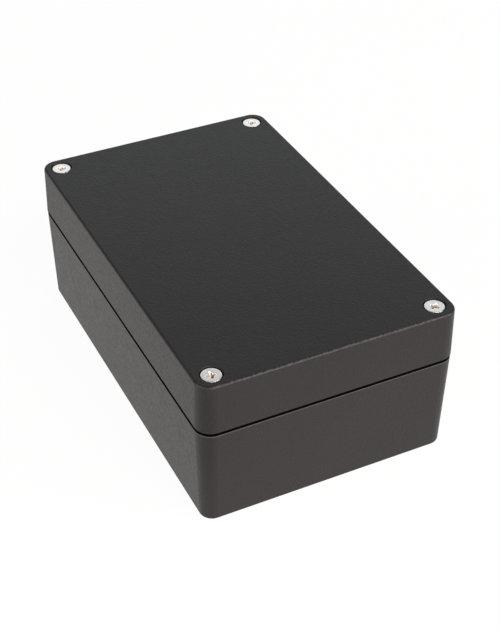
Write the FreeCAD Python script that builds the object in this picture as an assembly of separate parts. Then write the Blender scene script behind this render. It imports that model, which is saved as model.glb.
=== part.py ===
import FreeCAD, Part
import math
import os

# A die-cast aluminium enclosure: a deep base, a lid with a sealing cord in its groove,
# four captive lid screws, and an earth terminal in each half.
# Millimetres and degrees. X runs along the length, Y across the width, Z up.
# The origin is the middle of the bottom face. The front is the -Y side.

# Outside of the closed box
box_length = 160.0            # along X at the parting line
box_width = 100.8             # along Y at the parting line
box_height = 62.0             # bottom face to top face
corner_radius = 6.2           # upright corners at the parting line
lid_height = 20.2             # lower edge of the lid's skirt to the top face
parting_gap = 1.0             # shadow gap between the skirt and the rim of the base
skirt_overhang = 0.15         # the skirt stands this far outside the rim on every side
lid_draft = 1.1               # lean of the lid's sides
base_draft = 1.55             # lean of the base's sides
lid_edge_radius = 1.0         # round along the top face
base_edge_radius = 1.2        # round along the bottom face
rim_edge_radius = 0.25        # round on the outer edge of the base's rim
skirt_edge_radius = 0.25      # round on the lower outer edge of the skirt

# Walls of the two castings
wall = 4.0                    # around the sealed room, at the parting line
base_floor = 3.6
lid_roof = 3.4
cavity_draft = 1.0            # lean of every inner wall
cavity_radius = 3.2           # upright inner corners at the parting line
cavity_floor_radius = 1.6     # round between the inner walls and the floor or roof

# Seal: a rib on the base presses into a cord that fills a groove in the lid
seal_inset = 2.05             # parting outline, or a bay's wall, to the cord's middle line
seal_outer_radius = 3.4       # the cord's middle line at the bends beside the long walls
seal_notch_radius = 4.0       # the cord's middle line at the bends round the corner bays
cord_width = 1.8
cord_height = 2.0
cord_edge = 0.35              # chamfer along the cord's long edges
groove_clearance = 0.05       # cord to each wall of the groove
rib_width = 1.2
rib_height = 1.4
rib_edge = 0.2                # rounded top edges of the rib

# Corner bays, outside the seal, each for a wall screw beside the pillar of a lid screw
bay_length = 10.0             # along X
bay_inset = 26.2              # long side to a bay's far end, at the parting line
bay_reach = 1.5               # a bay's near end past the lid screw's axis, inside its pillar
bay_wall = 3.0                # outside wall of a bay, at the parting line
bay_radius = 3.0              # upright corners of a bay
bay_floor = 5.0
bay_floor_radius = 1.0
lid_bay_roof = 4.6            # roof over a bay in the lid
wall_hole_radius = 2.3        # clearance hole for a screw that fixes the box to a wall
wall_screw_inset = 20.4       # long side to the wall screw's axis, at the parting line
wall_hole_edge = 0.4          # chamfer at both ends of a wall screw hole

# Lid screws: countersunk head, cross recess, waisted shank
screw_inset = 7.15            # parting outline to a screw's axis, from both sides
thread_radius = 2.0
thread_clearance = 0.05       # thread to tapped hole
thread_grip = 9.7             # length of thread inside the base
thread_runout = 0.4           # cone between the thread and the waist
thread_tip = 0.6              # chamfer at a thread's free end
waist_radius = 1.6
head_radius = 3.65
head_land = 0.3               # upright edge of the head above its cone
head_edge = 0.12              # chamfer round the top of the head
head_depth = 0.4              # top of the head below the lid's top face
recess_span = 3.8             # cross recess, tip to tip
recess_slot = 1.0             # width of a wing at the top
recess_depth = 1.9
recess_taper = 0.62           # bottom of the recess as a share of its top
recess_pit_radius = 1.15      # round middle of the cross recess

# Screw seats and pillars
seat_clearance = 0.05         # the head's cone to its seat, square to the cone
seat_bore_radius = 2.25       # guides the thread through the lid
seat_well_radius = 4.2        # round recess about the head
seat_well_depth = 1.0
seat_well_edge = 0.25         # rounded mouth of that recess
pillar_radius = 6.6           # where the pillars of base and lid meet
pillar_draft = 0.8
pad_radius = 5.0              # raised pads on which the lid sits
tapped_spare = 3.3            # a base pillar's hole goes this much deeper than its screw
tapped_mouth = 0.4            # chamfer at the mouth of a tapped hole
drill_point = 1.1             # height of the cone at the bottom of a tapped hole

# Captive washers on the lid screws' waists
retainer_radius = 3.3
retainer_thickness = 1.2
retainer_bore_clearance = 0.08
retainer_guide_clearance = 0.1
retainer_rest = 0.55          # washer above the face where the castings meet
retainer_step = 0.05          # the thread's end to the washer's lower face
retainer_edge = 0.2           # chamfer on the outer edges of the washer
screw_free_rise = 1.15        # tip of a fully loosened screw above the base
rise_clearance = 0.25         # washer to the end of its guide, with the screw fully out

# Bosses on the base's floor, for a board or a mounting plate
plate_pitch_x = 112.0
plate_pitch_y = 74.0
plate_boss_radius = 4.2
plate_boss_height = 6.0
plate_hole_depth = 6.5        # full width, without the drill point
boss_foot = 1.0               # slope at the foot of a boss

# Earth terminals: boss, flat washer, lock washer and pan head screw
earth_inset = 13.5            # short side to the axis of both terminals, at the parting line
earth_boss_radius = 5.0
base_earth_boss_height = 8.0
lid_earth_boss_height = 6.0
earth_screw_length = 8.0      # under the head
earth_hole_spare = 0.5        # the tapped hole goes this much deeper than the screw
pan_radius = 4.0
pan_height = 2.8
pan_edge = 1.1                # round on the top edge of the pan head
pan_recess_depth = 1.7
flat_washer_radius = 4.5
flat_washer_bore = 2.15
flat_washer_thickness = 0.8
lock_washer_radius = 3.8
lock_washer_bore = 2.1
lock_washer_thickness = 0.9
lock_washer_slit = 0.5
lock_washer_slit_angle = 35.0

# Heights, places and sizes that follow from the values above
base_height = box_height - lid_height - parting_gap
skirt_z = base_height + parting_gap
seat_z = base_height + parting_gap / 2.0
half_length = box_length / 2.0
half_width = box_width / 2.0
screw_x = half_length - screw_inset
screw_y = half_width - screw_inset
bay_inner_x = half_length - bay_wall - bay_length
bay_inner_y = half_width - bay_inset
bay_outer_y = screw_y + bay_reach
wall_hole_x = bay_inner_x + bay_length / 2.0
wall_hole_y = half_width - wall_screw_inset
groove_half_width = cord_width / 2.0 + groove_clearance
groove_depth = cord_height + rib_height - parting_gap
head_top_z = box_height - head_depth
head_cone_z = head_top_z - head_land
screw_tip_z = seat_z - thread_grip
retainer_z = seat_z + retainer_rest
thread_end_z = retainer_z - retainer_step
screw_rise = thread_grip + screw_free_rise
guide_top_z = retainer_z + retainer_thickness + screw_rise + rise_clearance
guide_radius = retainer_radius + retainer_guide_clearance
tapped_radius = thread_radius + thread_clearance
tapped_depth = thread_grip + tapped_spare
earth_grip = flat_washer_thickness + lock_washer_thickness
earth_hole_depth = earth_screw_length - earth_grip + earth_hole_spare
earth_x = earth_inset - half_length
roof_z = box_height - lid_roof

ORIGIN = FreeCAD.Vector(0, 0, 0)
X_AXIS = FreeCAD.Vector(1, 0, 0)
Z_AXIS = FreeCAD.Vector(0, 0, 1)
NEARLY_ZERO = 1e-6

# Each corner's name, the signs of its X and Y, and how far its screw's recess is turned
CORNERS = (
    ("front_left", -1, -1, 65.0),
    ("front_right", 1, -1, 82.0),
    ("rear_right", 1, 1, 29.0),
    ("rear_left", -1, 1, 59.0),
)


def lean(angle, height):
    """Sideways shift of a leaning wall over a height."""
    return math.tan(math.radians(angle)) * height


def corner_arc(before, corner, after, radius):
    """Arc that rounds a corner between the points before and after it."""
    first = FreeCAD.Vector(before - corner).normalize()
    last = FreeCAD.Vector(after - corner).normalize()
    half_angle = first.getAngle(last) / 2.0
    run = radius / math.tan(half_angle)
    depth = radius / math.sin(half_angle) - radius
    middle = FreeCAD.Vector(first + last).normalize()
    return Part.Arc(corner + first * run, corner + middle * depth, corner + last * run)


def rounded_wire(points, radii):
    """Closed wire through points, each rounded by its own radius or sharp where that is zero."""
    count = len(points)
    edges = []
    starts = []
    ends = []
    for i in range(count):
        if radii[i] > 0:
            arc = corner_arc(points[i - 1], points[i], points[(i + 1) % count], radii[i])
            edges.append(arc.toShape())
            starts.append(arc.StartPoint)
            ends.append(arc.EndPoint)
        else:
            starts.append(points[i])
            ends.append(points[i])
    for i in range(count):
        following = starts[(i + 1) % count]
        if ends[i].distanceToPoint(following) > NEARLY_ZERO:
            edges.append(Part.LineSegment(ends[i], following).toShape())
    return Part.Wire(Part.__sortEdges__(edges))


def turned(outline):
    """Solid of revolution about Z from (radius, height) or (radius, height, round) corners."""
    points = [FreeCAD.Vector(corner[0], 0, corner[1]) for corner in outline]
    rounds = [corner[2] if len(corner) > 2 else 0.0 for corner in outline]
    return Part.Face(rounded_wire(points, rounds)).revolve(ORIGIN, Z_AXIS, 360)


def moved(shape, x, y, z, upside_down=False, turn=0.0):
    """Copy of a shape made at the origin, turned about Z, tipped over if asked, and moved."""
    copy = shape.copy()
    copy.rotate(ORIGIN, Z_AXIS, turn)
    if upside_down:
        copy.rotate(ORIGIN, X_AXIS, 180)
    copy.translate(FreeCAD.Vector(x, y, z))
    return copy


def rectangle_wire(half_x, half_y, radius, z, centre_x=0.0, centre_y=0.0):
    points = []
    for sx, sy in ((1, -1), (1, 1), (-1, 1), (-1, -1)):
        points.append(FreeCAD.Vector(centre_x + sx * half_x, centre_y + sy * half_y, z))
    return rounded_wire(points, [radius] * 4)


def notched_wire(half_x, half_y, notch_x, notch_y, outer_radius, notch_radius, z):
    """Rectangle whose four corners are stepped in to (notch_x, notch_y)."""
    points = []
    radii = []
    for sx, sy in ((1, 1), (-1, 1), (-1, -1), (1, -1)):
        beside = FreeCAD.Vector(sx * half_x, sy * notch_y, z)
        inner = FreeCAD.Vector(sx * notch_x, sy * notch_y, z)
        above = FreeCAD.Vector(sx * notch_x, sy * half_y, z)
        points.extend([beside, inner, above] if sx * sy > 0 else [above, inner, beside])
        radii.extend([outer_radius, notch_radius, outer_radius])
    return rounded_wire(points, radii)


def seal_wire(offset, z):
    """The cord's middle line, moved outwards by offset."""
    return notched_wire(
        half_length - seal_inset + offset,
        half_width - seal_inset + offset,
        bay_inner_x - seal_inset + offset,
        bay_inner_y - seal_inset + offset,
        seal_outer_radius + offset,
        seal_notch_radius - offset,
        z,
    )


def seal_ring(half_thickness, low_z, high_z):
    """Upright-walled ring that follows the seal all the way round."""
    outer = Part.Face(seal_wire(half_thickness, low_z))
    inner = Part.Face(seal_wire(-half_thickness, low_z))
    return outer.cut(inner).extrude(Z_AXIS * (high_z - low_z))


def level_edges(shape, z):
    """Edges that lie wholly at one height."""
    found = []
    for edge in shape.Edges:
        box = edge.BoundBox
        if abs(box.ZMin - z) < 1e-4 and abs(box.ZMax - z) < 1e-4:
            found.append(edge)
    return found


def leaning_block(wire_at, mouth_z, end_z, angle):
    """Block between two like outlines, narrower at end_z by the lean of its walls."""
    narrowed = wire_at(lean(angle, abs(end_z - mouth_z)), end_z)
    return Part.makeLoft([wire_at(0.0, mouth_z), narrowed], True, True)


def outer_block(parting_z, end_z, inset, angle, end_radius, parting_radius):
    """Outside of one casting, rounded along its closed end and its parting edge."""

    def outline(shrink, z):
        less = inset + shrink
        return rectangle_wire(half_length - less, half_width - less, corner_radius - less, z)

    block = leaning_block(outline, parting_z, end_z, angle)
    block = block.makeFillet(end_radius, level_edges(block, end_z))
    return block.makeFillet(parting_radius, level_edges(block, parting_z))


def sealed_room(mouth_z, end_z):
    """The space inside the seal, notched round the four corner bays."""

    def outline(shrink, z):
        less = wall + shrink
        return notched_wire(
            half_length - less,
            half_width - less,
            bay_inner_x - less,
            bay_inner_y - less,
            cavity_radius - shrink,
            cavity_radius + shrink,
            z,
        )

    room = leaning_block(outline, mouth_z, end_z, cavity_draft)
    return room.makeFillet(cavity_floor_radius, level_edges(room, end_z))


def corner_bay(sx, sy, mouth_z, end_z):
    """Pocket in one corner, outside the seal, which ends at the round pillar of the lid screw."""

    def outline(shrink, z):
        return rectangle_wire(
            bay_length / 2.0 - shrink,
            (bay_outer_y - bay_inner_y) / 2.0 - shrink,
            bay_radius - shrink,
            z,
            sx * (bay_inner_x + bay_length / 2.0),
            sy * (bay_inner_y + bay_outer_y) / 2.0,
        )

    pocket = leaning_block(outline, mouth_z, end_z, cavity_draft)
    pocket = pocket.makeFillet(bay_floor_radius, level_edges(pocket, end_z))
    height = abs(end_z - mouth_z)
    root_radius = pillar_radius + lean(pillar_draft, height)
    pillar = turned([(0, 0), (root_radius, 0), (pillar_radius, height), (0, height)])
    return pocket.cut(moved(pillar, sx * screw_x, sy * screw_y, end_z, upside_down=end_z > mouth_z))


def seat_pad(rim_z):
    """Raised pad on the pillar of a lid screw, rooted in the metal beyond the rim."""
    root_z = 2.0 * rim_z - seat_z
    return Part.makeCylinder(
        pad_radius, abs(seat_z - root_z), FreeCAD.Vector(0, 0, min(seat_z, root_z))
    )


def boss(radius, height):
    """Round boss on the origin, with a sloped foot."""
    root_radius = radius + lean(pillar_draft, height)
    return turned(
        [
            (0, 0),
            (root_radius + boss_foot, 0),
            (root_radius, boss_foot),
            (radius, height),
            (0, height),
        ]
    )


def tapped_hole(depth):
    """Hole that goes down from its mouth at the origin, its thread at full width, with a drill point."""
    return turned(
        [
            (0, 0),
            (tapped_radius + tapped_mouth, 0),
            (tapped_radius, -tapped_mouth),
            (tapped_radius, -depth),
            (0, -depth - drill_point),
        ]
    )


def cross_recess(depth):
    """Cross that goes down from the origin, narrower towards its bottom."""

    def wing_end(share, z):
        half_x = recess_span * share / 2.0
        half_y = recess_slot * share / 2.0
        points = [
            FreeCAD.Vector(sx * half_x, sy * half_y, z)
            for sx, sy in ((1, 1), (-1, 1), (-1, -1), (1, -1))
        ]
        return rounded_wire(points, [0.0] * 4)

    wing = Part.makeLoft([wing_end(recess_taper, -depth), wing_end(1.0, 0.0)], True, True)
    pit = Part.makeCone(
        recess_pit_radius * recess_taper, recess_pit_radius, depth, FreeCAD.Vector(0, 0, -depth)
    )
    return wing.fuse([moved(wing, 0, 0, 0, turn=90), pit])


# The base casting: drafted outside, sealed room, corner bays, pillars, bosses and rib
def make_base():
    outside = outer_block(
        base_height, 0.0, skirt_overhang, base_draft, base_edge_radius, rim_edge_radius
    )
    hollows = [sealed_room(base_height, base_floor)]
    solids = [base_seal_rib()]
    holes = []
    for _, sx, sy, _ in CORNERS:
        hollows.append(corner_bay(sx, sy, base_height, bay_floor))
        solids.append(moved(seat_pad(base_height), sx * screw_x, sy * screw_y, 0.0))
        holes.append(moved(tapped_hole(tapped_depth), sx * screw_x, sy * screw_y, seat_z))
        holes.append(moved(wall_screw_hole(), sx * wall_hole_x, sy * wall_hole_y, 0.0))
    for x in (-plate_pitch_x / 2.0, 0.0, plate_pitch_x / 2.0):
        for y in (-plate_pitch_y / 2.0, plate_pitch_y / 2.0):
            solids.append(moved(boss(plate_boss_radius, plate_boss_height), x, y, base_floor))
            top = base_floor + plate_boss_height
            holes.append(moved(tapped_hole(plate_hole_depth), x, y, top))
    solids.append(moved(boss(earth_boss_radius, base_earth_boss_height), earth_x, 0, base_floor))
    earth_face = base_floor + base_earth_boss_height
    holes.append(moved(tapped_hole(earth_hole_depth), earth_x, 0, earth_face))
    return outside.cut(hollows).fuse(solids).removeSplitter().cut(holes)


def base_seal_rib():
    """Rib on the rim, rooted in the wall below it."""
    top_z = base_height + rib_height
    rib = seal_ring(rib_width / 2.0, base_height - rib_height, top_z)
    return rib.makeFillet(rib_edge, level_edges(rib, top_z))


def wall_screw_hole():
    """Through hole in the floor of a bay, chamfered at both ends."""
    wide = wall_hole_radius + wall_hole_edge
    return turned(
        [
            (0, 0),
            (wide, 0),
            (wall_hole_radius, wall_hole_edge),
            (wall_hole_radius, bay_floor - wall_hole_edge),
            (wide, bay_floor),
            (0, bay_floor),
        ]
    )


# The lid casting: drafted outside, room and bays above the seal, groove and screw seats
def make_lid():
    outside = outer_block(skirt_z, box_height, 0.0, lid_draft, lid_edge_radius, skirt_edge_radius)
    hollows = [sealed_room(skirt_z, roof_z)]
    solids = []
    holes = [seal_ring(groove_half_width, skirt_z, skirt_z + groove_depth)]
    for _, sx, sy, _ in CORNERS:
        hollows.append(corner_bay(sx, sy, skirt_z, box_height - lid_bay_roof))
        solids.append(moved(seat_pad(skirt_z), sx * screw_x, sy * screw_y, 0.0))
        holes.append(moved(screw_seat(), sx * screw_x, sy * screw_y, 0.0))
    earth_boss = boss(earth_boss_radius, lid_earth_boss_height)
    solids.append(moved(earth_boss, earth_x, 0, roof_z, upside_down=True))
    earth_face = roof_z - lid_earth_boss_height
    holes.append(moved(tapped_hole(earth_hole_depth), earth_x, 0, earth_face, upside_down=True))
    return outside.cut(hollows).fuse(solids).removeSplitter().cut(holes)


def screw_seat():
    """Everything cut for one lid screw: washer guide, bore, countersink and head recess."""
    seat_offset = seat_clearance * math.sqrt(2.0)
    well_floor_z = box_height - seat_well_depth
    cone_radius = head_radius - (head_cone_z - well_floor_z) + seat_offset
    cone_foot_z = well_floor_z - (cone_radius - seat_bore_radius)
    mouth_radius = seat_well_radius + seat_well_edge
    above_z = box_height + seat_well_edge
    return turned(
        [
            (0, seat_z),
            (guide_radius, seat_z),
            (guide_radius, guide_top_z),
            (seat_bore_radius, guide_top_z),
            (seat_bore_radius, cone_foot_z),
            (cone_radius, well_floor_z),
            (seat_well_radius, well_floor_z),
            (seat_well_radius, box_height, seat_well_edge),
            (mouth_radius, box_height),
            (mouth_radius, above_z),
            (0, above_z),
        ]
    )


# The sealing cord, one closed ring in the lid's groove, resting on the base's rib
def make_gasket():
    top_z = skirt_z + groove_depth
    low_z = top_z - cord_height
    cord = seal_ring(cord_width / 2.0, low_z, top_z)
    return cord.makeChamfer(cord_edge, level_edges(cord, low_z) + level_edges(cord, top_z))


# A lid screw, standing on the origin's axis at its height in the closed box
def make_lid_screw():
    cone_foot_z = head_cone_z - (head_radius - waist_radius)
    body = turned(
        [
            (0, screw_tip_z),
            (thread_radius - thread_tip, screw_tip_z),
            (thread_radius, screw_tip_z + thread_tip),
            (thread_radius, thread_end_z - thread_runout),
            (waist_radius, thread_end_z),
            (waist_radius, cone_foot_z),
            (head_radius, head_cone_z),
            (head_radius, head_top_z - head_edge),
            (head_radius - head_edge, head_top_z),
            (0, head_top_z),
        ]
    )
    return body.cut(moved(cross_recess(recess_depth), 0, 0, head_top_z))


# A captive washer, riding on the waist of a lid screw just above its thread
def make_retainer():
    bore = waist_radius + retainer_bore_clearance
    top_z = retainer_z + retainer_thickness
    return turned(
        [
            (bore, retainer_z),
            (retainer_radius - retainer_edge, retainer_z),
            (retainer_radius, retainer_z + retainer_edge),
            (retainer_radius, top_z - retainer_edge),
            (retainer_radius - retainer_edge, top_z),
            (bore, top_z),
        ]
    )


def make_flat_washer():
    """Flat washer that lies on the origin."""
    return turned(
        [
            (flat_washer_bore, 0),
            (flat_washer_radius, 0),
            (flat_washer_radius, flat_washer_thickness),
            (flat_washer_bore, flat_washer_thickness),
        ]
    )


def make_lock_washer():
    """Split lock washer, pressed flat, that lies on the flat washer."""
    low_z = flat_washer_thickness
    ring = turned(
        [
            (lock_washer_bore, low_z),
            (lock_washer_radius, low_z),
            (lock_washer_radius, low_z + lock_washer_thickness),
            (lock_washer_bore, low_z + lock_washer_thickness),
        ]
    )
    reach = lock_washer_radius
    slit = Part.makeBox(reach, lock_washer_slit, 2.0 * reach)
    slit.translate(FreeCAD.Vector(lock_washer_bore / 2.0, -lock_washer_slit / 2.0, -reach))
    slit.rotate(ORIGIN, X_AXIS, lock_washer_slit_angle)
    slit.translate(FreeCAD.Vector(0, 0, low_z + lock_washer_thickness / 2.0))
    return ring.cut(slit)


def make_earth_screw():
    """Pan head screw that clamps both washers to a boss at the origin."""
    top = earth_grip + pan_height
    tip = earth_grip - earth_screw_length
    body = turned(
        [
            (0, tip),
            (thread_radius - thread_tip, tip),
            (thread_radius, tip + thread_tip),
            (thread_radius, earth_grip),
            (pan_radius, earth_grip),
            (pan_radius, top, pan_edge),
            (0, top),
        ]
    )
    return body.cut(moved(cross_recess(pan_recess_depth), 0, 0, top))


def save(name, shape):
    solids = shape.Solids
    whole = solids[0] if len(solids) == 1 else Part.makeCompound(solids)
    whole.exportStep(os.path.join("parts", name + ".step"))
    print(name, "solids:", len(solids), "valid:", whole.isValid(), "volume:", round(whole.Volume, 2))


def main():
    os.makedirs("parts", exist_ok=True)
    save("base", make_base())
    save("lid", make_lid())
    save("lid_gasket", make_gasket())
    screw = make_lid_screw()
    retainer = make_retainer()
    for name, sx, sy, turn in CORNERS:
        x = sx * screw_x
        y = sy * screw_y
        save("lid_screw_" + name, moved(screw, x, y, 0, turn=turn))
        save("retainer_" + name, moved(retainer, x, y, 0))
    earth_set = {
        "earth_washer": make_flat_washer(),
        "earth_lock_washer": make_lock_washer(),
        "earth_screw": make_earth_screw(),
    }
    for name, shape in earth_set.items():
        base_face = base_floor + base_earth_boss_height
        lid_face = roof_z - lid_earth_boss_height
        save("base_" + name, moved(shape, earth_x, 0, base_face))
        save("lid_" + name, moved(shape, earth_x, 0, lid_face, upside_down=True))


main()
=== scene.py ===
"""A die-cast aluminium box with a screwed-on lid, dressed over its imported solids.

The castings keep their solids and get a powder coat with bare machined faces. The screws, washers
and sealing cord are surfaces worked out with numpy, each on the body that carries it.
Lengths are in millimetres, as on a drawing, until a mesh is made, which is in metres.
"""

import logging
import math
from dataclasses import dataclass
from enum import Enum
from typing import Iterable, Mapping, Sequence, Union

import bpy
import numpy as np
from mathutils import Matrix, Vector

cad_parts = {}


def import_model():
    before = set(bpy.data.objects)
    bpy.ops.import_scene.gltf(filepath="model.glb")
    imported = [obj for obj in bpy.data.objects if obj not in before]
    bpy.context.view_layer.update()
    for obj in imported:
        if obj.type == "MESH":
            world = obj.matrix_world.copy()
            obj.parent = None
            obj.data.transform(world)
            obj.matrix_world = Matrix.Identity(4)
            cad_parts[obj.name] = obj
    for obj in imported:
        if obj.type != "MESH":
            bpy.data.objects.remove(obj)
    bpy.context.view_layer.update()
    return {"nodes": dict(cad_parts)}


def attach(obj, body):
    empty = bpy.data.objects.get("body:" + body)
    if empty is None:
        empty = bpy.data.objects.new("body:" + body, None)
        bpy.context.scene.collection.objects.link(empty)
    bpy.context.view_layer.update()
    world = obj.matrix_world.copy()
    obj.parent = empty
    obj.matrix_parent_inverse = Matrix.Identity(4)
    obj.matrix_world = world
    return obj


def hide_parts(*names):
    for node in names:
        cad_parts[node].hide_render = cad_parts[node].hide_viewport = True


log = logging.getLogger("enclosure")

MM = 0.001
TURN = 2.0 * math.pi
WHITE = (1.0, 1.0, 1.0)
SHARP_ANGLE = math.radians(38.0)

Number = Union[float, "Value"]
Colour = tuple[float, float, float]
Place = tuple[float, float, float]
Band = tuple[float, float]


# Where things are

class Spot(Enum):
    """Members named as the solids are, in capitals."""

    @property
    def label(self) -> str:
        """Name as the solids spell it."""
        return self.name.lower()


class Corner(Spot):
    """The four lid screws: signs along X and Y, and the turn of the cross recess in degrees."""

    FRONT_LEFT = (-1, -1, 65.0)
    FRONT_RIGHT = (1, -1, 82.0)
    REAR_RIGHT = (1, 1, 29.0)
    REAR_LEFT = (-1, 1, 59.0)

    @property
    def recess_turn(self) -> float:
        """Turn of the cross recess about Z, in radians."""
        return math.radians(self.value[2])

    def axis(self, half_x: float, half_y: float) -> tuple[float, float]:
        """The corner's own point of a pattern that lies half_x and half_y from the middle."""
        return self.value[0] * half_x, self.value[1] * half_y


class Half(Spot):
    """The two castings, each with the way its earth terminal stands and the body it rides on."""

    BASE = (1.0, "housing")
    LID = (-1.0, "cover")

    @property
    def upward(self) -> float:
        """1 where the terminal stands up from its boss, -1 where it hangs."""
        return self.value[0]

    @property
    def body(self) -> str:
        """Moving body that carries the casting."""
        return self.value[1]


@dataclass(frozen=True)
class Layout:
    """Places that the castings, their finish and the small parts share, in millimetres."""

    screw_x: float = 72.85
    screw_y: float = 43.25
    seat_z: float = 41.3
    half_length: float = 80.0
    half_width: float = 50.4
    corner_radius: float = 6.2
    rim_z: float = 40.8
    skirt_z: float = 41.8
    rib_z: float = 42.2
    pad_radius: float = 5.0
    tapped_radius: float = 2.05
    pitch: float = 0.7
    pillar_hole: float = 14.3
    plate_x: float = 56.0
    plate_y: float = 37.0
    plate_z: float = 9.6
    plate_radius: float = 4.2
    plate_hole: float = 7.8
    earth_x: float = -66.5
    earth_radius: float = 5.0
    earth_hole: float = 8.1
    base_earth_z: float = 11.6
    lid_earth_z: float = 52.6

    def earth_z(self, half: Half) -> float:
        """Height of the machined face that the earth terminal of a casting stands on."""
        return self.base_earth_z if half is Half.BASE else self.lid_earth_z


# Shader arithmetic

class Value:
    """A number socket that takes part in Python arithmetic by adding Math nodes."""

    def __init__(self, nodes: "Nodes", socket: bpy.types.NodeSocket) -> None:
        """Wrap a socket.

        Args:
            nodes: The tree that new nodes go into.
            socket: The output that holds the number.
        """
        self.nodes = nodes
        self.socket = socket

    def _math(self, operation: str, first: Number, second: Number = 0.0) -> "Value":
        """One Math node on two numbers or sockets."""
        return self.nodes.value("ShaderNodeMath", {"operation": operation}, {0: first, 1: second})

    def __add__(self, other: Number) -> "Value":
        """Sum."""
        return self._math("ADD", self, other)

    __radd__ = __add__

    def __sub__(self, other: Number) -> "Value":
        """Difference."""
        return self._math("SUBTRACT", self, other)

    def __rsub__(self, other: Number) -> "Value":
        """Difference with the socket as the part taken away."""
        return self._math("SUBTRACT", other, self)

    def __mul__(self, other: Number) -> "Value":
        """Product."""
        return self._math("MULTIPLY", self, other)

    __rmul__ = __mul__

    def __truediv__(self, other: Number) -> "Value":
        """Quotient."""
        return self._math("DIVIDE", self, other)

    def __pow__(self, power: float) -> "Value":
        """Power of a number that isn't negative."""
        return self._math("POWER", self, power)

    def __abs__(self) -> "Value":
        """Size without its sign."""
        return self._math("ABSOLUTE", self)

    def root(self) -> "Value":
        """Square root."""
        return self._math("SQRT", self)

    def sign(self) -> "Value":
        """1 above zero and -1 below it."""
        return self._math("SIGN", self)

    def nearest(self) -> "Value":
        """Nearest whole number."""
        return self._math("ROUND", self)

    def saw(self) -> "Value":
        """Part after the decimal point."""
        return self._math("FRACT", self)

    def angle(self, across: "Value") -> "Value":
        """Angle of the point (across, self), in radians."""
        return self._math("ARCTAN2", self, across)

    def highest(self, other: Number) -> "Value":
        """The larger of two numbers."""
        return self._math("MAXIMUM", self, other)

    def lowest(self, other: Number) -> "Value":
        """The smaller of two numbers."""
        return self._math("MINIMUM", self, other)

    def step(self, start: float, end: float) -> "Value":
        """Smooth step: 0 at start, 1 at end, flat beyond both, also where end lies below start."""
        return self.nodes.value(
            "ShaderNodeMapRange",
            {"interpolation_type": "SMOOTHSTEP"},
            {"Value": self, "From Min": start, "From Max": end, "To Min": 0.0, "To Max": 1.0},
        )


class Nodes:
    """The node tree of a material or a world under construction."""

    def __init__(self, owner: bpy.types.Material | bpy.types.World) -> None:
        """Give the owner an empty node tree.

        Args:
            owner: The material or world.
        """
        owner.use_nodes = True
        self.tree = owner.node_tree
        self.tree.nodes.clear()

    def node(
        self,
        kind: str,
        settings: Mapping[str, object] | None = None,
        inputs: Mapping[str | int, object] | None = None,
    ) -> bpy.types.Node:
        """Add one node.

        Args:
            kind: Type of the node.
            settings: Its own settings, set first.
            inputs: Numbers, colours, sockets or wrapped values for its inputs.

        Returns:
            The new node.
        """
        node = self.tree.nodes.new(kind)
        for key, setting in (settings or {}).items():
            setattr(node, key, setting)
        for key, given in (inputs or {}).items():
            given = given.socket if isinstance(given, Value) else given
            socket = node.inputs[key]
            if isinstance(given, bpy.types.NodeSocket):
                self.tree.links.new(given, socket)
            elif socket.type == "RGBA":
                socket.default_value = (*given, 1.0)
            else:
                socket.default_value = given
        return node

    def value(self, kind: str, settings: Mapping, inputs: Mapping, output: str | int = 0) -> Value:
        """Add a node and wrap one of its outputs as a number."""
        return Value(self, self.node(kind, settings, inputs).outputs[output])

    def direct(self) -> Value:
        """1 for what the camera sees directly."""
        return self.value("ShaderNodeLightPath", {}, {}, "Is Camera Ray")

    def seen(self) -> Value:
        """1 for what the camera sees directly, in a mirror or through glass."""
        mirrored = self.value("ShaderNodeLightPath", {}, {}, "Is Glossy Ray")
        through = self.value("ShaderNodeLightPath", {}, {}, "Is Transmission Ray")
        return self.direct().highest(mirrored).highest(through)


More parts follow.
